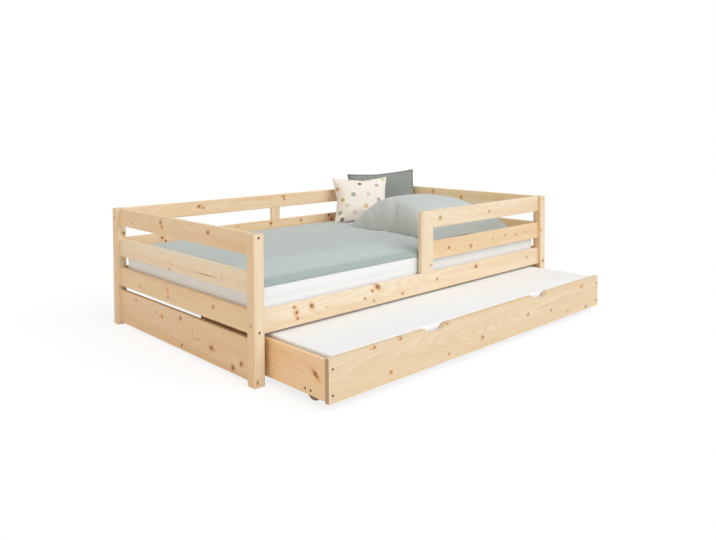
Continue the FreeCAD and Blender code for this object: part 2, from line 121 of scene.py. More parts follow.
# Studio light
# Soft white light from all round, a broad lamp from the front and above, and a weaker warm
# lamp that fills the faces towards the foot end.
world = bpy.data.worlds.new("studio")
scene.world = world
world.use_nodes = True
tree = world.node_tree
tree.nodes.clear()
around = add(tree, "ShaderNodeBackground", {"Color": (1.0, 1.0, 1.0, 1), "Strength": 0.5})
backdrop = add(tree, "ShaderNodeBackground", {"Color": (1, 1, 1, 1), "Strength": 1.0})
blend = add(tree, "ShaderNodeMixShader", {"Fac": seen_directly(tree), 1: around.outputs[0],
                                          2: backdrop.outputs[0]})
add(tree, "ShaderNodeOutputWorld", {"Surface": blend.outputs[0]})

for name, colour, energy, spread, towards_lamp in (
        ("front_lamp", (0.98, 1.0, 1.03), 1.75, 60, (0.18, -0.72, 0.67)),
        ("foot_lamp", (1.0, 0.72, 0.45), 0.6, 70, (-0.95, -0.05, 0.2))):
    lamp = bpy.data.lights.new(name, "SUN")
    lamp.color = colour
    lamp.energy = energy
    lamp.angle = math.radians(spread)
    lamp_stand = bpy.data.objects.new(name, lamp)
    lamp_stand.rotation_euler = Vector(towards_lamp).to_track_quat("Z", "Y").to_euler()
    scene.collection.objects.link(lamp_stand)


# Posts
# Four square posts of clear-lacquered knotty pine, planed, with their long edges rounded.
# Blind bolt holes and mortises are cut in them before the lacquer.
AXES = {"X": Vector((1, 0, 0)), "Y": Vector((0, 1, 0)), "Z": Vector((0, 0, 1))}
PALE_WOOD = linear(237, 222, 195)
RING_WOOD = linear(221, 195, 155)
WARM_WOOD = linear(229, 202, 163)
END_WOOD = linear(206, 168, 120)
HALO_WOOD = linear(220, 168, 108)
KNOT_WOOD = linear(156, 106, 66)
KNOT_RIM = linear(112, 74, 48)
RINGS_TO_A_METRE = 210.0


def tinted(colour, tone_and_painted_light):
    """A wood colour of one board, multiplied by its share of red, green and blue; the share holds the
    board's own tones and, on some boards, painted light and shade.
    """
    return tuple(part * share for part, share in zip(colour, (*tone_and_painted_light, 1.0)))


def new_material(name):
    """A material, its node tree and its main shader."""
    material = bpy.data.materials.new(name)
    material.use_nodes = True
    return material, material.node_tree, material.node_tree.nodes["Principled BSDF"]


def coat(node_name, material):
    """Give a CAD node one material in place of its own."""
    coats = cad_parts[node_name].data.materials
    coats.clear()
    coats.append(material)


def ranged(tree, value, from_low, from_high, to_low, to_high, kind="SMOOTHSTEP"):
    """A value brought from one range to another, and held at its ends."""
    return add(tree, "ShaderNodeMapRange", {0: value, 1: from_low, 2: from_high, 3: to_low, 4: to_high},
               interpolation_type=kind).outputs[0]


def mixed(tree, factor, first, second, kind="MIX"):
    """Colour between two, or the first multiplied by the second."""
    return add(tree, "ShaderNodeMix", {0: factor, 6: first, 7: second}, data_type="RGBA",
               blend_type=kind).outputs[2]


def pattern(tree, place, scale, detail, **inputs):
    """Noise at a place, of so many lumps to a unit."""
    return add(tree, "ShaderNodeTexNoise", {"Vector": place, "Scale": scale, "Detail": detail, **inputs})


def vector(tree, operation, first, second):
    """Result of a Vector Math node."""
    return add(tree, "ShaderNodeVectorMath", {0: first, 1: second}, operation=operation).outputs[0]


def measured(tree, away, sides):
    """Length of a vector, once its sides are multiplied."""
    scaled = vector(tree, "MULTIPLY", away, sides)
    return add(tree, "ShaderNodeVectorMath", {0: scaled}, operation="LENGTH").outputs["Value"]


def strayed(tree, place, source, scale, detail, reach):
    """A place that noise moves about, by up to half of reach each way."""
    stray = pattern(tree, source, scale, detail).outputs["Color"]
    stray = vector(tree, "SUBTRACT", stray, (0.5, 0.5, 0.5))
    return vector(tree, "ADD", place, vector(tree, "MULTIPLY", stray, reach))


def pine(node_name, grain, face, heart, knots=(), stains=(), shakes=(), tone_and_painted_light=(1, 1, 1), painted_flank_shade=(1, 1, 1),
         end=(1, 1, 1), dark=0.85):
    """Lacquer a board. Grain runs along one axis and the broad face looks along another.
    heart is how far the middle of the tree lies across and behind the board. A knot is its
    place along and across, its radius, how many times longer it is along, and its slant; a
    stain of resin and a shake, which is a fine dark crack, are each a place and their reach
    along and across. Each board's tint is its own colour and, on some boards, painted light
    and shade as well. The faces across the board are multiplied by a side tint, which is
    painted warm shade; end tints the sawn ends, and dark is how strongly the knots show."""
    low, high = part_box(node_name)
    middle = (low + high) / 2
    along, through = AXES[grain], AXES[face]
    across = Vector((1, 1, 1)) - along - through
    material, tree, shader = new_material("pine_" + node_name)
    place = add(tree, "ShaderNodeTexCoord").outputs["Object"]

    def nearer(first, second):
        return second if first is None else computed(tree, "MINIMUM", first, second)

    def spot(at_along, at_across):
        return along * at_along + across * at_across + through * middle.dot(through)

    def darkened(wood, value, start, end, most, colour):
        return mixed(tree, ranged(tree, value, start, end, most, 0.0), wood, colour)

    # Wander of the grain, long along the board
    drawn_out = vector(tree, "MULTIPLY", place, along * 1.6 + across * 9 + through * 9)
    flow = strayed(tree, place, drawn_out, 1.0, 2.0, (0.03, 0.03, 0.03))

    # Knots push the grain aside; their outlines are ragged
    ragged_place = strayed(tree, place, place, 110.0, 3.0, (0.012, 0.012, 0.012))
    knot = stain = shake = None
    for at_along, at_across, radius, stretch, slant in knots:
        centre = spot(at_along, at_across)
        away = vector(tree, "SUBTRACT", place, centre)
        reach = measured(tree, away, along / (radius * 6) + across / (radius * 3))
        push = ranged(tree, reach, 0, 1, 0.82, 0)
        away = vector(tree, "MULTIPLY", away, across)
        aside = add(tree, "ShaderNodeVectorMath", {0: away, "Scale": push}, operation="SCALE").outputs[0]
        flow = vector(tree, "SUBTRACT", flow, aside)
        turned = add(tree, "ShaderNodeMapping", {"Vector": vector(tree, "SUBTRACT", ragged_place, centre),
                                                 "Rotation": through * slant}).outputs[0]
        knot = nearer(knot, measured(tree, turned, along / (radius * stretch) + across / radius))
    for at_along, at_across, long, wide in stains:
        away = vector(tree, "SUBTRACT", ragged_place, spot(at_along, at_across))
        stain = nearer(stain, measured(tree, away, along / long + across / wide))
    for at_along, at_across, long, wide in shakes:
        away = vector(tree, "SUBTRACT", flow, spot(at_along, at_across))
        shake = nearer(shake, measured(tree, away, along / long + across / wide))

    # Year rings: cylinders round the heart of the tree, which runs a little askew
    heart_place = middle + across * heart[0] + through * heart[1]
    turned = add(tree, "ShaderNodeMapping", {"Vector": vector(tree, "SUBTRACT", flow, heart_place),
                                             "Rotation": through * 0.012 + across * 0.03}).outputs[0]
    from_heart = measured(tree, turned, across + through)
    ring = computed(tree, "FRACT", computed(tree, "MULTIPLY", from_heart, RINGS_TO_A_METRE))
    late = add(tree, "ShaderNodeValToRGB", {"Fac": ring})
    late.color_ramp.elements[0].position = 0.1
    late.color_ramp.elements[0].color = (0, 0, 0, 1)
    late.color_ramp.elements[1].position = 0.84
    late.color_ramp.elements[1].color = (1, 1, 1, 1)
    late.color_ramp.elements.new(1.0).color = (0.05, 0.05, 0.05, 1)

    # Fibres, broad bands of tone, and the darker sawn ends
    fibre_place = vector(tree, "MULTIPLY", flow, along * 7 + across * 420 + through * 420)
    fibres = pattern(tree, fibre_place, 1.0, 3.0).outputs[0]
    band_place = vector(tree, "MULTIPLY", flow, along * 0.9 + across * 22 + through * 22)
    bands = ranged(tree, pattern(tree, band_place, 1.0, 2.0).outputs[0], 0.35, 0.7, 0.0, 0.8)
    wood = mixed(tree, bands, tinted(PALE_WOOD, tone_and_painted_light), tinted(WARM_WOOD, tone_and_painted_light))
    late_share = computed(tree, "MULTIPLY", late.outputs[0], 0.42)
    wood = mixed(tree, late_share, wood, tinted(RING_WOOD, tone_and_painted_light))
    wood = mixed(tree, ranged(tree, fibres, 0.55, 0.75, 0.0, 0.35), wood, tinted(RING_WOOD, tone_and_painted_light))
    facing = add(tree, "ShaderNodeNewGeometry").outputs["True Normal"]
    end_grain = ranged(tree, measured(tree, facing, along), 0.9, 1.0, 0.0, 0.6)
    wood = mixed(tree, end_grain, wood, tinted(END_WOOD, end))
    # Painted warm shade: the faces across the board are multiplied by the side tint.
    flank_shade_mask = ranged(tree, measured(tree, facing, across), 0.4, 0.9, 0.0, 1.0)
    wood = mixed(tree, flank_shade_mask, wood, (*painted_flank_shade, 1.0), "MULTIPLY")
    relief = computed(tree, "ADD", fibres, late_share)
    if stain:
        wood = darkened(wood, stain, 0.2, 1.0, 0.75, tinted(HALO_WOOD, tone_and_painted_light))
    if knot:
        wood = darkened(wood, knot, 0.9, 3.2, 0.7, tinted(HALO_WOOD, tone_and_painted_light))
        wood = darkened(wood, knot, 0.75, 1.3, dark, KNOT_RIM)
        wood = darkened(wood, knot, 0.3, 0.8, dark, KNOT_WOOD)
    if shake:
        wood = darkened(wood, shake, 0.4, 1.0, 0.85, KNOT_RIM)
    tree.links.new(wood, shader.inputs["Base Color"])
    tree.links.new(ranged(tree, fibres, 0.3, 0.7, 0.4, 0.52, "LINEAR"), shader.inputs["Roughness"])
    bump = add(tree, "ShaderNodeBump", {"Height": relief, "Strength": 0.35, "Distance": 0.0004})
    tree.links.new(bump.outputs[0], shader.inputs["Normal"])
    shader.inputs["Coat Weight"].default_value = 0.12
    shader.inputs["Coat Roughness"].default_value = 0.3
    coat(node_name, material)


# Painted warm shade: the side faces of the posts are tinted darker and warmer than their front faces.
POST_FLANK_PAINTED_SHADE = (1.01, 0.87, 0.73)
pine("post_front_left", "Z", "Y", (0.05, 0.05), ((0.021, -1.027, 0.004, 1.3, 0.4),),
     ((0.021, -1.026, 0.022, 0.012),), painted_flank_shade=POST_FLANK_PAINTED_SHADE, dark=0.5)
pine("post_front_right", "Z", "Y", (-0.04, 0.06),
     ((0.4, 1.0, 0.004, 1.3, 0), (0.216, 1.024, 0.005, 1.3, 0)), painted_flank_shade=POST_FLANK_PAINTED_SHADE)
pine("post_back_left", "Z", "Y", (0.03, 0.07), ((0.47, -1.004, 0.006, 1.4, 0.3),), painted_flank_shade=POST_FLANK_PAINTED_SHADE)
pine("post_back_right", "Z", "Y", (-0.06, 0.03), ((0.18, 1.02, 0.006, 1.2, 0),), painted_flank_shade=POST_FLANK_PAINTED_SHADE)


# End boards
# Three rails and a skirt panel of planed pine at each end, held between the posts by stub
# tenons, with a bolt through each post into the top and bottom rail.
# Painted warm shade: the foot end boards and the right side of the trundle are tinted darker and warmer,
# standing in for the warm side light on faces turned towards the foot.
PAINTED_WARM_SHADE_TONE = (1.0, 0.855, 0.7)
# Painted light: the head end boards are lightened, standing in for light on their inner faces, which look
# towards the foot.
HEAD_PAINTED_LIGHT_TONE = (1.16, 1.12, 1.02)
MID_TONE = (1.07, 1.05, 1.03)
# The top and bottom rails of the foot end have like tints of their own: painted warm shade as well.
pine("foot_end_top_rail", "Y", "X", (0.02, 0.06),
     ((0.325, 0.571, 0.006, 1.3, 0.5), (0.308, 0.551, 0.005, 1.0, 0), (-0.097, 0.57, 0.006, 1.5, 0.2),
      (0.62, 0.54, 0.003, 1.2, 0)), ((0.315, 0.56, 0.02, 0.03),), tone_and_painted_light=(1.01, 0.89, 0.76))
pine("foot_end_mid_rail", "Y", "X", (-0.01, 0.09), ((0.246, 0.364, 0.003, 1.8, 0),),
     ((0.228, 0.391, 0.008, 0.03), (-0.2, 0.391, 0.008, 0.03), (0.246, 0.364, 0.016, 0.008)),
     ((-0.07, 0.388, 0.13, 0.0024), (-0.33, 0.358, 0.06, 0.0028)), tone_and_painted_light=MID_TONE, dark=0.5)
pine("foot_end_bottom_rail", "Y", "X", (0.03, 0.07),
     ((0.545, 0.234, 0.004, 1.2, 0), (0.263, 0.266, 0.004, 1.4, 0), (0.261, 0.23, 0.0045, 1.2, 0.3),
      (-0.131, 0.259, 0.005, 1.1, 0)),
     ((0.262, 0.248, 0.01, 0.026), (-0.131, 0.255, 0.014, 0.016)), tone_and_painted_light=(1.02, 0.91, 0.75), dark=0.7)
pine("foot_end_skirt_panel", "Y", "X", (-0.02, 0.1),
     ((0.591, 0.159, 0.005, 1.3, 0), (0.374, 0.138, 0.003, 1.6, 0), (0.318, 0.126, 0.005, 1.2, 0.8),
      (0.148, 0.154, 0.007, 1.2, 0.2), (0.138, 0.035, 0.005, 1.8, 0.7), (-0.113, 0.08, 0.009, 1.3, 0.3),
      (-0.338, 0.067, 0.008, 1.1, 0.9), (-0.278, 0.036, 0.009, 1.1, 0.5)),
     ((0.041, 0.114, 0.006, 0.035), (0.33, 0.13, 0.03, 0.016), (-0.13, 0.075, 0.04, 0.014)),
     ((0.005, 0.091, 0.045, 0.002),), tone_and_painted_light=PAINTED_WARM_SHADE_TONE)
pine("head_end_top_rail", "Y", "X", (0.02, -0.08),
     ((0.386, 0.58, 0.005, 1.4, 0), (0.145, 0.553, 0.006, 1.3, 0.4)),
     ((0.386, 0.57, 0.014, 0.03), (0.145, 0.548, 0.014, 0.032)), tone_and_painted_light=HEAD_PAINTED_LIGHT_TONE, dark=0.5)
pine("head_end_mid_rail", "Y", "X", (-0.02, -0.07),
     ((-0.15, 0.4, 0.007, 1.2, 0), (0.5, 0.38, 0.006, 1.3, 0.5)), tone_and_painted_light=HEAD_PAINTED_LIGHT_TONE)
pine("head_end_bottom_rail", "Y", "X", (0.01, -0.09),
     ((0.05, 0.25, 0.007, 1.3, 0), (0.55, 0.23, 0.006, 1.1, 0.4)),
     ((0.3, 0.24, 0.008, 0.03),), tone_and_painted_light=HEAD_PAINTED_LIGHT_TONE)
pine("head_end_skirt_panel", "Y", "X", (0.03, -0.1),
     ((-0.1, 0.08, 0.008, 1.2, 0.4), (0.3, 0.13, 0.006, 1.5, 0), (0.6, 0.06, 0.008, 1.1, 0.9)),
     ((0.1, 0.1, 0.007, 0.04),), tone_and_painted_light=HEAD_PAINTED_LIGHT_TONE)


# Side boards
# A front rail and three back boards of the same pine, bolted to the posts, with one short
# spacer block glued between the two upper back boards.
BACK_TONE = (1.06, 0.95, 0.85)
pine("side_rail_front", "X", "Y", (0.015, 0.085),
     ((-0.352, 0.284, 0.008, 1.9, -0.7), (-0.385, 0.27, 0.004, 1.6, -0.6), (-0.82, 0.255, 0.006, 1.2, 0.5),
      (-0.833, 0.279, 0.004, 1.4, 0), (-0.815, 0.229, 0.004, 1.3, 0), (-0.74, 0.268, 0.007, 1.5, -0.8),
      (-0.431, 0.244, 0.004, 1.4, -0.5), (-0.375, 0.223, 0.004, 1.0, 0), (-0.185, 0.224, 0.004, 1.3, 0),
      (0.068, 0.253, 0.004, 1.2, 0), (0.386, 0.272, 0.007, 1.3, 0.3), (0.872, 0.255, 0.005, 1.1, 0)),
     ((-0.822, 0.252, 0.014, 0.036), (-0.74, 0.268, 0.02, 0.014), (-0.352, 0.28, 0.03, 0.018),
      (-0.185, 0.228, 0.02, 0.012), (0.068, 0.253, 0.014, 0.02), (-0.66, 0.25, 0.02, 0.006)),
     tone_and_painted_light=(1.02, 1.01, 1.02))
pine("side_rail_back", "X", "Y", (0.01, -0.08),
     ((-0.5, 0.25, 0.01, 1.2, 0.4), (0.2, 0.23, 0.007, 1.3, 0), (0.75, 0.26, 0.009, 1.1, 0.8)))
pine("back_mid_rail", "X", "Y", (-0.02, 0.09),
     ((-0.056, 0.424, 0.007, 1.1, 0), (0.18, 0.422, 0.006, 1.1, 0), (0.415, 0.434, 0.008, 1.3, 0.5),
      (0.44, 0.405, 0.008, 1.2, 0.9), (-0.78, 0.419, 0.006, 1.2, 0), (-0.76, 0.4, 0.004, 1.2, 0),
      (0.8, 0.4, 0.007, 1.2, 0)), ((-0.3, 0.43, 0.03, 0.008), (0.43, 0.42, 0.03, 0.03)),
     tone_and_painted_light=(0.98, 0.89, 0.79))
pine("back_top_rail", "X", "Y", (0.02, 0.07),
     ((0.042, 0.584, 0.005, 1.7, 0.5), (0.05, 0.565, 0.004, 1.4, 0.3), (-0.553, 0.571, 0.006, 1.5, 0.6),
      (-0.522, 0.56, 0.004, 1.4, 0.3), (0.7, 0.57, 0.008, 1.2, 0)),
     ((-0.54, 0.566, 0.03, 0.016),), tone_and_painted_light=BACK_TONE)
pine("back_spacer_block", "Z", "Y", (0.01, 0.05), tone_and_painted_light=BACK_TONE)


# Guard
# A rounded upright tenoned into the front rail, and two rails from it to the head post,
# which keep a sleeping child in.
pine("guard_upright", "Z", "Y", (0.03, 0.05), ((0.33, 0.02, 0.003, 1.4, 0),))
pine("guard_top_rail", "X", "Y", (0.02, 0.07),
     ((0.092, 0.557, 0.006, 1.4, 0.8), (0.504, 0.554, 0.004, 1.3, 0)),
     ((0.094, 0.556, 0.014, 0.016), (0.504, 0.554, 0.014, 0.012)), dark=0.6)
pine("guard_mid_rail", "X", "Y", (-0.02, 0.08),
     ((0.16, 0.399, 0.005, 1.3, 0), (0.342, 0.386, 0.006, 1.4, 0.6), (0.539, 0.4, 0.003, 1.2, 0),
      (0.653, 0.408, 0.004, 1.2, 0), (0.755, 0.4, 0.004, 1.2, 0), (0.849, 0.403, 0.003, 1.2, 0)),
     ((0.16, 0.396, 0.02, 0.01), (0.342, 0.386, 0.018, 0.012)), tone_and_painted_light=(0.965, 0.855, 0.72), dark=0.6)


# Slatted base
# Pine ledgers screwed along both side rails carry fourteen slats, stapled to two straps of
# grey webbing that keep them apart.
pine("slat_ledger_front", "X", "Y", (0.02, 0.06))
pine("slat_ledger_back", "X", "Y", (0.03, 0.05))
pine("bed_slats", "Y", "Z", (0.04, 0.08),
     ((-0.1, -0.55, 0.007, 1.2, 0), (0.4, -0.1, 0.008, 1.1, 0.4), (0.1, 0.42, 0.007, 1.3, 0)))


def weave(tree, place, threads):
    """Height of a plain weave, with that many threads to a metre each way."""
    sides = add(tree, "ShaderNodeSeparateXYZ", {0: place}).outputs
    heights = []
    for side in ("X", "Y"):
        heights.append(computed(tree, "SINE", computed(tree, "MULTIPLY", sides[side], threads * math.pi)))
    return computed(tree, "MULTIPLY", *heights)


def cloth(name, colour, shade, threads, on_surface, creases=0.0, crease_size=9.0, sheen=0.25, rough=0.85):
    """Woven cloth: colour with a faint mottle towards shade, threads, and soft creases."""
    material, tree, shader = new_material(name)
    place = add(tree, "ShaderNodeTexCoord").outputs["UV" if on_surface else "Object"]
    mottle = pattern(tree, place, 60.0, 6.0, Roughness=0.7).outputs[0]
    tint = mixed(tree, ranged(tree, mottle, 0.3, 0.7, 0.0, 1.0, "LINEAR"), colour, shade)
    tree.links.new(tint, shader.inputs["Base Color"])
    threads_bump = add(tree, "ShaderNodeBump", {"Height": weave(tree, place, threads), "Strength": 0.12,
                                                "Distance": 0.0003})
    crease = pattern(tree, place, crease_size, 3.0, Distortion=1.2)
    soft_bump = add(tree, "ShaderNodeBump", {"Height": crease.outputs[0], "Strength": 1.0,
                                             "Distance": creases, "Normal": threads_bump.outputs[0]})
    tree.links.new(soft_bump.outputs[0], shader.inputs["Normal"])
    shader.inputs["Roughness"].default_value = rough
    shader.inputs["Sheen Weight"].default_value = sheen
    shader.inputs["Sheen Roughness"].default_value = 0.5
    shader.inputs["Specular IOR Level"].default_value = 0.2
    return material


coat("slat_webbing", cloth("grey_webbing", linear(150, 150, 148), linear(128, 128, 126), threads=500,
                           on_surface=False))


# Connector bolts
# Plated steel bolts that draw the rails against the posts. They are sunk in the posts' blind
# holes, where only their ends show, coloured dark brown as painted shade of the holes.
def metal(name, colour, rough):
    """Plated steel with fine scratches in its shine."""
    material, tree, shader = new_material(name)
    place = add(tree, "ShaderNodeTexCoord").outputs["Object"]
    scratches = pattern(tree, place, 900.0, 4.0).outputs[0]
    shine = ranged(tree, scratches, 0.3, 0.7, rough, rough + 0.2, "LINEAR")
    tree.links.new(shine, shader.inputs["Roughness"])
    shader.inputs["Base Color"].default_value = colour
    shader.inputs["Metallic"].default_value = 1.0
    return material


# The dark brown of the bolts is painted shade of the holes they sit in.
coat("connector_bolts", metal("bolt_zinc_painted_hole_shade", linear(58, 48, 38), rough=0.45))


# Upper mattress
# A foam block in a white knitted cover, with rounded corners, soft rims and a zip seam that
# runs round the middle of its sides.
def foam_block(name, node_name, corner, rim):
    """Covered foam block of a node's size, with a sewn seam round its sides."""
    near = 0.0005
    seam_depth = 0.004
    seam_share, seam_reach = 0.5, 0.06
    low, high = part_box(node_name)
    size = high - low
    bpy.ops.object.select_all(action="DESELECT")
    bpy.ops.mesh.primitive_cube_add(size=1.0, location=(low + high) / 2)
    block = bpy.context.object
    block.name = name
    block.dimensions = size
    bpy.ops.object.transform_apply(location=True, rotation=True, scale=True)
    mesh = block.data
    bpy.ops.object.mode_set(mode="EDIT")
    bpy.ops.mesh.select_mode(type="EDGE")
    bpy.ops.mesh.select_all(action="DESELECT")
    bpy.ops.object.mode_set(mode="OBJECT")
    for edge in mesh.edges:
        run = mesh.vertices[edge.vertices[0]].co - mesh.vertices[edge.vertices[1]].co
        edge.select = abs(run.z) > size.z / 2
    bpy.ops.object.mode_set(mode="EDIT")
    bpy.ops.mesh.bevel(offset=corner, segments=6)
    for share in (seam_share - seam_reach, seam_share, seam_share + seam_reach):
        bpy.ops.mesh.select_all(action="SELECT")
        bpy.ops.mesh.bisect(plane_co=(0, 0, low.z + size.z * share), plane_no=(0, 0, 1))
    bpy.ops.object.mode_set(mode="OBJECT")
    seam = low.z + size.z * seam_share
    for edge in mesh.edges:
        ends = [mesh.vertices[index].co for index in edge.vertices]
        flat = abs(ends[0].z - ends[1].z) < near
        edge.select = flat and min(abs(ends[0].z - low.z), abs(ends[0].z - high.z)) < near
    bpy.ops.object.mode_set(mode="EDIT")
    bpy.ops.mesh.bevel(offset=rim, segments=4)
    bpy.ops.object.mode_set(mode="OBJECT")
    for vertex in mesh.vertices:
        if abs(vertex.co.z - seam) < near:
            inward = Vector(((low.x + high.x) / 2 - vertex.co.x, (low.y + high.y) / 2 - vertex.co.y, 0))
            vertex.co += inward.normalized() * seam_depth
    bpy.ops.object.shade_smooth_by_angle(angle=math.radians(40))
    return block


mattress_rim = 0.016
mattress = foam_block("mattress_foam", "mattress", corner=0.05, rim=mattress_rim)
mattress.data.materials.append(cloth("white_knit", linear(240, 242, 243), linear(236, 238, 239),
                                     threads=600, on_surface=False, creases=0.003, crease_size=14.0))
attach(mattress, "bed_frame")
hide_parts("mattress")


# Duvet
# A quilt in a pale sage cotton cover, laid over the foot half of the mattress. Its front hem
# wraps the mattress edge and its turned-down end runs askew.
def sewn_flat(name, length, width, cell, thickness):
    """Two layers of cloth sewn together all round, lying flat, with the surface in metres as UV."""
    bpy.ops.object.select_all(action="DESELECT")
    bpy.ops.mesh.primitive_grid_add(x_subdivisions=round(length / cell),
                                    y_subdivisions=round(width / cell), size=1.0, location=(0, 0, 0))
    piece = bpy.context.object
    piece.name = name
    piece.dimensions = (length, width, 0)
    bpy.ops.object.transform_apply(location=True, rotation=True, scale=True)
    solid = piece.modifiers.new("two_layers", "SOLIDIFY")
    solid.thickness = thickness
    solid.offset = 0.0
    bpy.ops.object.modifier_apply(modifier="two_layers")
    surface = piece.data.uv_layers.active.data
    for loop in piece.data.loops:
        place = piece.data.vertices[loop.vertex_index].co
        surface[loop.index].uv = (place.x, place.y)
    return piece


def swell(piece, pressure, most, frames):
    """Fill the cover until it is plump; no point moves further than most. Returns the flat places."""
    flat = [vertex.co.copy() for vertex in piece.data.vertices]
    bpy.context.view_layer.objects.active = piece
    filling = piece.modifiers.new("filling", "CLOTH")
    settings = filling.settings
    settings.quality = 5
    settings.mass = 0.3
    settings.tension_stiffness = 12.0
    settings.compression_stiffness = 12.0
    settings.shear_stiffness = 5.0
    settings.bending_stiffness = 1.0
    settings.use_pressure = True
    settings.uniform_pressure_force = pressure
    settings.effector_weights.gravity = 0.0
    filling.collision_settings.use_collision = False
    for number in range(1, frames + 1):
        scene.frame_set(number)
    bpy.ops.object.modifier_apply(modifier="filling")
    scene.frame_set(1)
    for vertex, home in zip(piece.data.vertices, flat):
        move = vertex.co - home
        if move.length > most:
            vertex.co = home + move.normalized() * most
    bpy.ops.object.mode_set(mode="EDIT")
    bpy.ops.mesh.select_all(action="SELECT")
    bpy.ops.mesh.vertices_smooth(factor=0.5, repeat=3)
    bpy.ops.object.mode_set(mode="OBJECT")
    return flat


def select_only(piece):
    """Select one piece and make it the active one."""
    bpy.ops.object.select_all(action="DESELECT")
    piece.select_set(True)
    bpy.context.view_layer.objects.active = piece


def smooth_cover(piece):
    """Shade a sewn cover smooth and round it off by one finer step."""
    select_only(piece)
    bpy.ops.object.shade_smooth()
    finer = piece.modifiers.new("finer", "SUBSURF")
    finer.levels = 1
    finer.render_levels = 1


def between(places, values, at):
    """Value at a place on a smooth line through the given values."""
    knots = list(zip(places, values))
    for (place0, value0), (place1, value1) in zip(knots, knots[1:]):
        if at <= place1:
            share = min(max((at - place0) / (place1 - place0), 0), 1)
            share = share * share * (3 - 2 * share)
            return value0 + (value1 - value0) * share
    return values[-1]


mattress_low, mattress_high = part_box("mattress")
duvet_low, duvet_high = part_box("duvet")
quilt_size = 1.2
duvet = sewn_flat("duvet_quilt", quilt_size, quilt_size, cell=0.011, thickness=0.012)
flat_duvet = swell(duvet, pressure=5.0, most=0.03, frames=20)
swollen = max(vertex.co.z for vertex in duvet.data.vertices)
duvet_left = duvet_low.x + 0.002
duvet_front = duvet_low.y + 0.0003
duvet_back = duvet_high.y - 0.003
shoulder = mattress_low.y + mattress_rim
bend_length = 0.024
bend_radius = 0.0162
hem_drop = 0.002
flat_width = duvet_back - shoulder + bend_length + hem_drop
lower_height = 0.0008
cover_height = 0.0025
filling_height = 0.028
pucker_height = 0.006

# Shares of the filling along and across the quilt, and its length at places across the bed
filling_along = ((0, 0.012, 0.04, 0.17, 0.4, 0.58, 0.8, 0.96, 0.988, 1),
                 (0.05, 0.45, 0.8, 1.0, 0.9, 1.0, 0.95, 0.9, 0.5, 0.05))
filling_across = ((0, 0.2, 0.35, 0.56, 0.84, 0.97, 0.99, 1),
                  (0.12, 0.93, 1.0, 0.8, 0.4, 0.1, 0.05, 0.02))
quilt_lengths = ((duvet_front, -0.295, 0.05, 0.33, 0.4, 0.44, 0.5, 0.57, 0.62, 0.66, duvet_back),
                 (1.172, 1.186, 1.238, 1.25, 1.29, 1.33, 1.37, 1.385, 1.37, 1.33, 1.325))
for vertex, home in zip(duvet.data.vertices, flat_duvet):
    along = min(max(home.x / quilt_size + 0.5, 0), 1)
    over = min(max(home.y / quilt_size + 0.5, 0), 1)
    pucker = max(vertex.co.z, 0) / swollen
    x, y = home.x, home.y
    fold = noise.noise(Vector((x * 2.3, y * 1.5, 3.1))) * 0.007
    fold += noise.noise(Vector((x * 6, y * 3, 7.7))) * 0.003
    ridge = noise.noise(Vector((x * 1.3 + y * 4.0, y * 1.1 - x * 0.7, 1.9)))
    fold += 0.006 * max(0, 1 - abs(ridge) * 5)
    loft = between(*filling_along, along) * between(*filling_across, over)
    height = lower_height
    if vertex.co.z > 0:
        height = cover_height + pucker * pucker_height * loft + loft * (filling_height + fold)
    place_y = duvet_back - (1 - over) * flat_width
    depth = shoulder - place_y
    if depth <= 0:
        spot = Vector((0, place_y, mattress_high.z + height))
    else:
        bend = min(depth / bend_length, 1) * math.pi / 2
        centre = Vector((0, shoulder, mattress_high.z - mattress_rim))
        spot = centre + Vector((0, -math.sin(bend), math.cos(bend))) * (bend_radius + height)
        spot.z -= max(depth - bend_length, 0)
        spot.y = max(spot.y, duvet_front)
    wave = noise.noise(Vector((0.4, spot.y * 9, 5.2))) * 0.006 - 0.003
    spot.x = duvet_left + along * (between(*quilt_lengths, spot.y) + wave)
    vertex.co = spot
smooth_cover(duvet)
duvet_cloth = cloth("sage_cotton", linear(188, 198, 195), linear(183, 193, 190), threads=900,
                    on_surface=True, creases=0.010, crease_size=7.0, sheen=0.2, rough=0.8)
tree = duvet_cloth.node_tree
shader = tree.nodes["Principled BSDF"]
colour = shader.inputs["Base Color"].links[0].from_socket
flat_place = add(tree, "ShaderNodeTexCoord").outputs["UV"]
side = add(tree, "ShaderNodeSeparateXYZ", {0: flat_place}).outputs["Y"]
# Painted light and shade: the front of the top is lightened where it slopes down towards the front, and
# the turned-down front is darkened towards the hem.
painted_hem_shade = ranged(tree, side, -0.598, -0.53, 1.0, 0.0)
painted_front_light = ranged(tree, side, -0.42, -0.26, 1.0, 0.0)
colour = mixed(tree, painted_front_light, colour, linear(191, 202, 200))
colour = mixed(tree, painted_hem_shade, colour, linear(160, 173, 170))
tree.links.new(colour, shader.inputs["Base Color"])
duvet.data.materials.append(duvet_cloth)
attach(duvet, "bed_frame")
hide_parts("duvet")


# Pillow
# A large square pillow in the same cotton, slackly filled. It lies on the mattress and its
# crown leans towards the back of the bed.
PLUMP = (2.2, 0.62)


def fullness(share, plump):
    """How full a cover is at a share of the way from its middle to its seam."""
    return (1 - abs(share) ** plump[0]) ** plump[1]


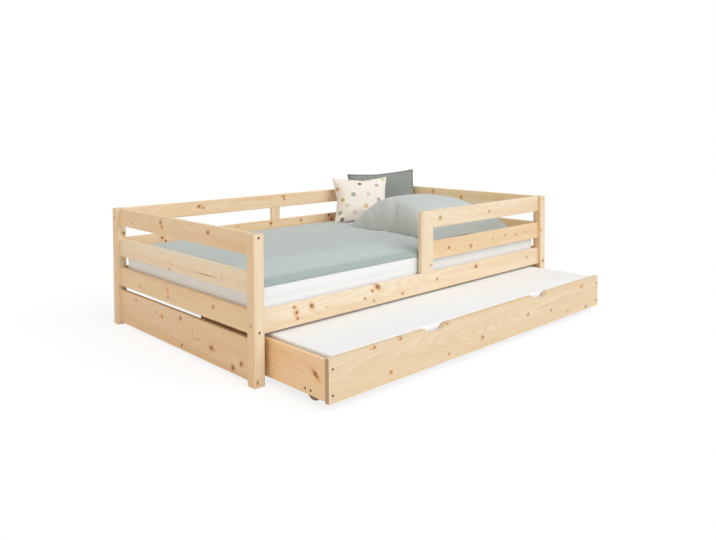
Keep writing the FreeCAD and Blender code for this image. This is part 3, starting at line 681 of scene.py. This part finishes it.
def as_cushion(piece, flat, width, height, front, back, draw, ears, dome, crown_shift=0.0, plump=PLUMP):
    """Bring a swollen cover to its sewn size. front swells towards +Z; the sides pull in by
    draw; ears is how much of the swollen outline stays, dome how even the filling is, and
    plump how full it is near the seams at its left and right."""
    points = [vertex.co for vertex in piece.data.vertices]
    half_x = max(abs(point.x) for point in points)
    half_y = max(abs(point.y) for point in points)
    top = max(point.z for point in points)
    bottom = -min(point.z for point in points)
    flat_x = max(abs(place.x) for place in flat)
    flat_y = max(abs(place.y) for place in flat)
    for vertex, place in zip(piece.data.vertices, flat):
        u, v = place.x / flat_x, place.y / flat_y
        x = width / 2 * u - draw * (1 - v * v) * u * abs(u)
        y = height / 2 * v - draw * (1 - u * u) * v * abs(v)
        x = x * (1 - ears) + vertex.co.x / half_x * width / 2 * ears
        y = y * (1 - ears) + vertex.co.y / half_y * height / 2 * ears
        rise = vertex.co.z / top if vertex.co.z > 0 else vertex.co.z / bottom
        even = fullness(u, plump) * fullness(v, PLUMP)
        rise = rise * (1 - dome) + math.copysign(even, rise) * dome
        lean = crown_shift * max(rise, 0) ** 2
        vertex.co = Vector((x, y + lean, rise * (front if rise > 0 else back)))


pillow_low, pillow_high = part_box("pillow")
pillow = sewn_flat("pillow_square", 0.72, 0.72, cell=0.011, thickness=0.008)
flat_pillow = swell(pillow, pressure=14.0, most=0.11, frames=26)
as_cushion(pillow, flat_pillow, 0.66, 0.72, front=0.191, back=0.013, draw=0.028, ears=0.45, dome=0.85,
           crown_shift=0.09, plump=(2.8, 0.42))
pillow_turn = -5
towards_foot = 0.05
seam_height = 0.0145
pillow.rotation_euler = (0, 0, math.radians(pillow_turn))
pillow_middle = (pillow_low + pillow_high) / 2
pillow.location = (pillow_middle.x - towards_foot, pillow_middle.y, pillow_low.z + seam_height)
select_only(pillow)
bpy.ops.object.transform_apply(location=True, rotation=True, scale=True)
smooth_cover(pillow)
pillow.data.materials.append(cloth("sage_cotton_pillow", linear(202, 209, 206), linear(197, 204, 201),
                                   threads=900, on_surface=True, creases=0.012, crease_size=8.0,
                                   sheen=0.2, rough=0.8))
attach(pillow, "bed_frame")
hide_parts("pillow")


# Dotted cushion
# A small square cushion of cream cotton printed with scattered dots in soft colours. It
# stands on its lower seam and leans back against the long cushion.
def distance(tree, first, second):
    """Distance between two places."""
    return add(tree, "ShaderNodeVectorMath", {0: first, 1: second}, operation="DISTANCE").outputs["Value"]


def stand_up(piece, height, tilt, turn, roll, x, y):
    """Stand a cushion on its lower seam on the mattress, rolled, tilted back and turned."""
    lift = 0.0006
    turned = Matrix.Rotation(math.radians(turn), 4, "Z") @ Matrix.Rotation(math.radians(-tilt), 4, "X")
    upright = Matrix.Rotation(math.radians(-roll), 4, "Y") @ Matrix.Rotation(math.pi / 2, 4, "X")
    piece.data.transform(turned @ Matrix.Translation((0, 0, height / 2)) @ upright)
    low = min(vertex.co.z for vertex in piece.data.vertices)
    piece.data.transform(Matrix.Translation((x, y, mattress_high.z + lift - low)))


dotted_height = 0.318
dotted = sewn_flat("dotted_square", 0.364, dotted_height, cell=0.0075, thickness=0.004)
flat_dotted = swell(dotted, pressure=14.0, most=0.06, frames=26)
as_cushion(dotted, flat_dotted, 0.368, 0.320, front=0.06, back=0.066, draw=0.02, ears=0.3, dome=0.6)
stand_up(dotted, dotted_height, tilt=27, turn=-35.6, roll=0, x=0.498, y=0.5465)
smooth_cover(dotted)
dot_cloth = cloth("dotted_cotton", linear(249, 241, 231), linear(243, 233, 223), threads=800,
                  on_surface=True, creases=0.006, crease_size=16.0)

# Each dot's place on the flat cover, its radius and its colour
dots = (
    (-0.162, 0.068, 0.0125, (214, 160, 140)), (-0.132, -0.016, 0.0125, (214, 172, 84)),
    (-0.054, 0.016, 0.013, (160, 170, 158)), (-0.009, 0.094, 0.0115, (126, 92, 78)),
    (0.104, 0.082, 0.012, (206, 164, 146)), (0.043, 0.014, 0.011, (206, 212, 194)),
    (-0.149, -0.099, 0.0125, (160, 162, 156)), (-0.052, -0.107, 0.012, (224, 202, 188)),
    (0.021, -0.066, 0.012, (220, 190, 130)), (0.112, -0.02, 0.0125, (160, 170, 162)),
    (0.1, -0.1, 0.012, (196, 148, 130)), (-0.08, 0.135, 0.011, (214, 214, 196)),
    (0.058, 0.146, 0.012, (226, 204, 190)), (0.02, -0.14, 0.011, (126, 96, 84)),
    (0.152, 0.136, 0.011, (206, 204, 158)), (-0.1, -0.056, 0.01, (208, 212, 198)),
    (-0.132, -0.146, 0.0125, (150, 108, 78)), (0.15, -0.145, 0.011, (210, 174, 100)),
)
tree = dot_cloth.node_tree
shader = tree.nodes["Principled BSDF"]
colour = shader.inputs["Base Color"].links[0].from_socket
flat_place = add(tree, "ShaderNodeTexCoord").outputs["UV"]
print_place = strayed(tree, flat_place, flat_place, 90.0, 1.0, (0.008, 0.008, 0))
print_edge = 0.0045
for across, up, radius, tint in dots:
    away = distance(tree, print_place, (across, up, 0))
    share = ranged(tree, away, radius, radius + print_edge, 0.9, 0.0, "LINEAR")
    colour = mixed(tree, share, colour, linear(*tint))
tree.links.new(colour, shader.inputs["Base Color"])
dotted.data.materials.append(dot_cloth)
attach(dotted, "bed_frame")
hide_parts("dotted_cushion")


# Piped cushion
# A long cushion of grey-green linen with a darker piped seam, standing in the back corner of
# the head end.
piped_length, piped_height = 0.476, 0.312
piped = sewn_flat("piped_long", piped_length, piped_height, cell=0.0085, thickness=0.006)
flat_piped = swell(piped, pressure=14.0, most=0.06, frames=26)
as_cushion(piped, flat_piped, 0.467, 0.303, front=0.055, back=0.056, draw=0.014, ears=0.15, dome=0.6)
stand_up(piped, piped_height, tilt=12, turn=-27.5, roll=3, x=0.765, y=0.6085)

# Seam of the flat cover, point by point round its edge: two layers meet at each
half_length, half_height = piped_length / 2, piped_height / 2
at_edge = 0.9995
edge_points = [(math.atan2(place.y / half_height, place.x / half_length), index)
               for index, place in enumerate(flat_piped)
               if abs(place.x) > half_length * at_edge or abs(place.y) > half_height * at_edge]
seam = [index for angle, index in sorted(edge_points)]
path = [(piped.data.vertices[first].co + piped.data.vertices[second].co) / 2
        for first, second in zip(seam[::2], seam[1::2])]
smooth_cover(piped)
piped.data.materials.append(cloth("grey_green_linen", linear(148, 154, 148), linear(137, 143, 136),
                                  threads=600, on_surface=True, creases=0.008, crease_size=12.0,
                                  sheen=0.2))
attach(piped, "bed_frame")
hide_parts("piped_cushion")

piping_line = bpy.data.curves.new("piping", "CURVE")
piping_line.dimensions = "3D"
piping_line.bevel_depth = 0.0042
piping_line.bevel_resolution = 2
piping_line.resolution_u = 3
spline = piping_line.splines.new("NURBS")
spline.points.add(len(path) - 1)
for point, place in zip(spline.points, path):
    point.co = (*place, 1)
spline.order_u = 3
spline.use_cyclic_u = True
piping = bpy.data.objects.new("piped_long_piping", piping_line)
scene.collection.objects.link(piping)
select_only(piping)
bpy.ops.object.convert(target="MESH")
piping = bpy.context.object
bpy.ops.object.shade_smooth()
piping.data.materials.append(cloth("piping_linen", linear(104, 110, 104), linear(92, 98, 92),
                                   threads=900, on_surface=False))
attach(piping, "bed_frame")


# Trundle box
# Four pine boards: the front one laps the ends of the side boards and is screwed to them, and
# has two sloped hand notches in its top edge.
# Painted shade: the front and back boards of the trundle are darkened, standing in for the dimmer light
# low under the bed.
TRUNDLE_PAINTED_SHADE_TONE = (0.93, 0.88, 0.82)
pine("trundle_front_board", "X", "Y", (0.02, 0.11),
     ((-0.074, 0.074, 0.006, 1.2, 0.5), (-0.661, 0.066, 0.005, 1.2, 0), (-0.607, 0.186, 0.005, 1.4, 0),
      (-0.75, 0.182, 0.004, 1.4, 0.4), (-0.309, 0.056, 0.004, 1.1, 0), (0.291, 0.107, 0.005, 1.2, 0.3),
      (0.501, 0.089, 0.005, 1.1, 0), (0.659, 0.052, 0.004, 1.3, 0), (0.806, 0.16, 0.004, 1.6, 0.5),
      (0.847, 0.042, 0.006, 1.1, 0), (-0.318, 0.186, 0.004, 1.3, 0)),
     ((-0.76, 0.182, 0.03, 0.008), (0.291, 0.107, 0.016, 0.012), (0.8, 0.158, 0.03, 0.014)),
     tone_and_painted_light=TRUNDLE_PAINTED_SHADE_TONE, end=(0.4, 0.28, 0.2), dark=0.6)
pine("trundle_back_board", "X", "Y", (-0.02, -0.1),
     ((-0.6, 0.1, 0.009, 1.2, 0.4), (0.15, 0.07, 0.007, 1.3, 0), (0.7, 0.13, 0.008, 1.1, 0.8)),
     tone_and_painted_light=TRUNDLE_PAINTED_SHADE_TONE)
# Painted warm light: the left side board is tinted warmer, standing in for the warm light on its face
# turned towards the foot.
pine("trundle_side_left", "Y", "X", (0.01, 0.1),
     ((-0.735, 0.115, 0.006, 3.0, -0.7), (-0.33, 0.07, 0.006, 1.3, 0), (-0.2, 0.13, 0.007, 1.2, 0.4)),
     ((-0.735, 0.115, 0.02, 0.014),), tone_and_painted_light=(1.12, 0.93, 0.75))
# Its tint is painted warm shade, as on the foot end boards.
pine("trundle_side_right", "Y", "X", (-0.01, -0.1),
     ((-0.6, 0.09, 0.007, 1.2, 0), (-0.1, 0.06, 0.008, 1.3, 0.5)), tone_and_painted_light=PAINTED_WARM_SHADE_TONE)
pine("trundle_ledger_front", "X", "Y", (0.02, 0.05))
pine("trundle_ledger_back", "X", "Y", (0.02, -0.05))
pine("trundle_slats", "Y", "Z", (0.03, 0.08),
     ((-0.5, -0.3, 0.007, 1.2, 0), (-0.2, 0.5, 0.008, 1.1, 0.3)))


# Screws of the trundle
# Small steel screws, a hair proud of the boards, with a shallow recess for the driver. Two hold
# each end of the front board, and two hold each wheel plate through its side board.
bpy.ops.object.select_all(action="DESELECT")
screw_head_height = 0.0016
bpy.ops.mesh.primitive_cylinder_add(vertices=24, radius=0.0042, depth=screw_head_height,
                                    location=(0, 0, 0))
screw_head = bpy.context.object
bpy.ops.object.mode_set(mode="EDIT")
bpy.ops.mesh.select_mode(type="FACE")
bpy.ops.mesh.select_all(action="DESELECT")
bpy.ops.object.mode_set(mode="OBJECT")
for face in screw_head.data.polygons:
    face.select = face.normal.z > 0.9
bpy.ops.object.mode_set(mode="EDIT")
bpy.ops.mesh.inset(thickness=0.0006)
bpy.ops.mesh.inset(thickness=0.0012)
bpy.ops.transform.translate(value=(0, 0, -0.0005))
bpy.ops.object.mode_set(mode="OBJECT")
bpy.ops.object.shade_smooth_by_angle(angle=math.radians(30))
screw_head.data.materials.append(metal("screw_zinc", linear(72, 50, 34), rough=0.45))
board_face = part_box("trundle_front_board")[0].y
side_face = abs(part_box("trundle_side_left")[0].x)
corner_screw_x = 0.959
corner_screw_heights = (0.057, 0.152)
plate_screw_height = 0.048
plate_screw_offset = 0.0165
screw_places = []
for way in (-1, 1):
    for height in corner_screw_heights:
        screw_places.append((Vector((way * corner_screw_x, board_face, height)), Vector((0, -1, 0))))
    for wheel_name in ("wheel_front_left", "wheel_back_left"):
        wheel_low, wheel_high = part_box(wheel_name)
        axle_y = (wheel_low.y + wheel_high.y) / 2
        for beside in (-plate_screw_offset, plate_screw_offset):
            place = Vector((way * side_face, axle_y + beside, plate_screw_height))
            screw_places.append((place, Vector((way, 0, 0))))
for number, (place, outward) in enumerate(screw_places):
    screw = screw_head.copy()
    screw.data = screw_head.data.copy()
    screw.name = "trundle_screw_%02d" % (number + 1)
    scene.collection.objects.link(screw)
    turned = outward.to_track_quat("Z", "Y").to_matrix().to_4x4()
    screw.data.transform(Matrix.Translation(place) @ turned)
    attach(screw, "trundle")
bpy.data.objects.remove(screw_head)


# Trundle mattress
# A thinner foam mattress in the same white cover, with tighter corners and rims. It lies in
# the box on its slats.
trundle_mattress = foam_block("trundle_mattress_foam", "trundle_mattress", corner=0.018, rim=0.007)
trundle_mattress.data.materials.append(cloth("white_knit_trundle", linear(247, 248, 248),
                                             linear(243, 245, 245), threads=600, on_surface=False,
                                             creases=0.003, crease_size=12.0))
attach(trundle_mattress, "trundle")
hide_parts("trundle_mattress")


# Wheels
# Moulded brown wheels with a softer tread, each on a steel pin riveted to a plate on the
# inside of a side board.
plate_steel = metal("plate_zinc", linear(176, 176, 172), rough=0.4)
coat("wheel_plates", plate_steel)
coat("wheel_axle_pins", plate_steel)
tread_start, tread_end = 0.0375, 0.0385
for node_name in ("wheel_front_left", "wheel_front_right", "wheel_back_left", "wheel_back_right"):
    material, tree, shader = new_material("brown_plastic_painted_light_" + node_name)
    place = add(tree, "ShaderNodeTexCoord").outputs["Object"]
    pits = pattern(tree, place, 700.0, 3.0).outputs[0]
    # Painted light: the browns of the wheel and its tread are lightened, standing in for light in the
    # shade under the trundle.
    tint = mixed(tree, pits, linear(160, 130, 106), linear(146, 118, 96))
    wheel_low, wheel_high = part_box(node_name)
    axle = Vector((0, (wheel_low.y + wheel_high.y) / 2, (wheel_low.z + wheel_high.z) / 2))
    from_axle = distance(tree, vector(tree, "MULTIPLY", place, (0, 1, 1)), axle)
    tread = ranged(tree, from_axle, tread_start, tread_end, 0.0, 1.0, "LINEAR")
    tree.links.new(mixed(tree, tread, tint, linear(148, 120, 98)), shader.inputs["Base Color"])
    bump = add(tree, "ShaderNodeBump", {"Height": pits, "Strength": 0.2, "Distance": 0.0004})
    tree.links.new(bump.outputs[0], shader.inputs["Normal"])
    shader.inputs["Roughness"].default_value = 0.5
    coat(node_name, material)
